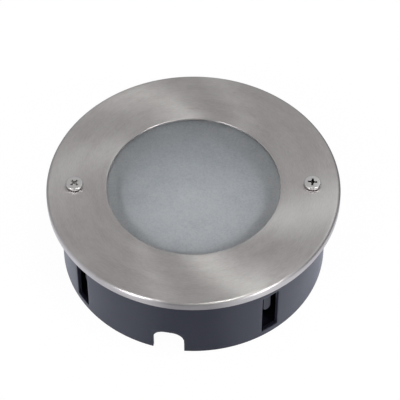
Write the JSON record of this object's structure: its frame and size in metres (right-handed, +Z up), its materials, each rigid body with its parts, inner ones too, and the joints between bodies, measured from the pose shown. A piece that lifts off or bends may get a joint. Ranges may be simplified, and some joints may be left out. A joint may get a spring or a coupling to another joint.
{
  "type": "recessed ground light",
  "caption": "Round recessed ground light: brushed steel cover ring with a frosted window over a lamp housing in a black mounting sleeve.",
  "frame": {"origin": "centre of the mounting sleeve's foot, at the bottom of the light", "axes": "+Z up along the light's axis, through the window; -Y towards the front, where the cable notch is; +X to the right, through the right cover screw"},
  "size_m": [0.15, 0.15, 0.0516],
  "materials": {
    "stainless": "brushed in circles",
    "screw_steel": "plain",
    "black_plastic": "moulded satin",
    "black_housing": "powder coated",
    "frosted_glass": "acid etched",
    "rubber": "matt",
    "brass": "turned",
    "white_plastic": "satin",
    "clear_plastic": "natural",
    "lamp_white": "satin",
    "opal": "opal",
    "brown_lead": "insulation",
    "blue_lead": "insulation",
    "green_lead": "insulation",
    "gland_nylon": "moulded",
    "led_yellow": "phosphor",
    "board_green": "solder mask",
    "black_parts": "moulded"
  },
  "bodies": {
    "sleeve": {"mounting_sleeve": "black_plastic", "sleeve_ledge": "black_plastic"},
    "lamp_unit": {"lamp_housing": "black_housing", "lamp_pot": "black_housing", "pot_gussets": "black_housing", "screw_inserts": "brass", "reflector": "white_plastic", "lampholder": "white_plastic", "lampholder_contacts": "brass", "lampholder_screws": "screw_steel", "terminal_block": "clear_plastic", "terminal_clamps": "brass", "terminal_screws": "screw_steel", "terminal_fixings": "screw_steel", "earth_tag": "brass", "earth_screw": "screw_steel", "live_lead": "brown_lead", "neutral_lead": "blue_lead", "earth_lead": "green_lead", "gland_body": "gland_nylon", "gland_washer": "rubber", "gland_locknut": "gland_nylon"},
    "lamp": {"lamp_body": "lamp_white", "lamp_cover": "opal", "lamp_pins": "brass", "led_board": "white_plastic", "led_chips": "led_yellow", "driver_board": "board_green", "driver_parts": "black_parts"},
    "window": {"window_glass": "frosted_glass", "glass_seal": "rubber"},
    "cover": {"cover_ring": "stainless"},
    "left_washer": {"left_washer": "rubber"},
    "left_screw": {"left_screw": "screw_steel"},
    "right_washer": {"right_washer": "rubber"},
    "right_screw": {"right_screw": "screw_steel"},
    "gland_seal": {"gland_seal": "rubber"},
    "gland_nut": {"gland_nut": "gland_nylon"}
  },
  "joints": [
    {"name": "unit_lift", "type": "slide", "parent": "sleeve", "child": "lamp_unit", "axis": [0, 0, 1], "range_m": [0, 0.07]},
    {"name": "window_lift", "type": "slide", "parent": "lamp_unit", "child": "window", "axis": [0, 0, 1], "range_m": [0, 0.03]},
    {"name": "cover_lift", "type": "slide", "parent": "window", "child": "cover", "axis": [0, 0, 1], "range_m": [0, 0.03]},
    {"name": "lamp_twist", "type": "hinge", "parent": "lamp_unit", "child": "lamp", "pos_m": [0, 0, 0.019], "axis": [0, 0, 1], "range_deg": [0, 15]},
    {"name": "left_screw_turn", "type": "hinge", "parent": "left_washer", "child": "left_screw", "pos_m": [-0.0606, 0, 0.0494], "axis": [0, 0, 1], "range_deg": [0, 5400]},
    {"name": "left_screw_travel", "type": "slide", "parent": "cover", "child": "left_washer", "axis": [0, 0, 1], "range_m": [0, 0.0105]},
    {"name": "right_screw_turn", "type": "hinge", "parent": "right_washer", "child": "right_screw", "pos_m": [0.0606, 0, 0.0494], "axis": [0, 0, 1], "range_deg": [0, 5400]},
    {"name": "right_screw_travel", "type": "slide", "parent": "cover", "child": "right_washer", "axis": [0, 0, 1], "range_m": [0, 0.0105]},
    {"name": "gland_nut_turn", "type": "hinge", "parent": "gland_seal", "child": "gland_nut", "pos_m": [-0.0104, -0.05401, 0.0155], "axis": [-0.1891, -0.982, 0], "range_deg": [0, 1008]},
    {"name": "gland_nut_travel", "type": "slide", "parent": "lamp_unit", "child": "gland_seal", "axis": [-0.1891, -0.982, 0], "range_m": [0, 0.0042]}
  ],
  "couplings": [
    {"joint": "left_screw_turn", "follows": "left_screw_travel", "rad_per_m": 8976},
    {"joint": "right_screw_turn", "follows": "right_screw_travel", "rad_per_m": 8976},
    {"joint": "gland_nut_turn", "follows": "gland_nut_travel", "rad_per_m": 4188.8}
  ]
}
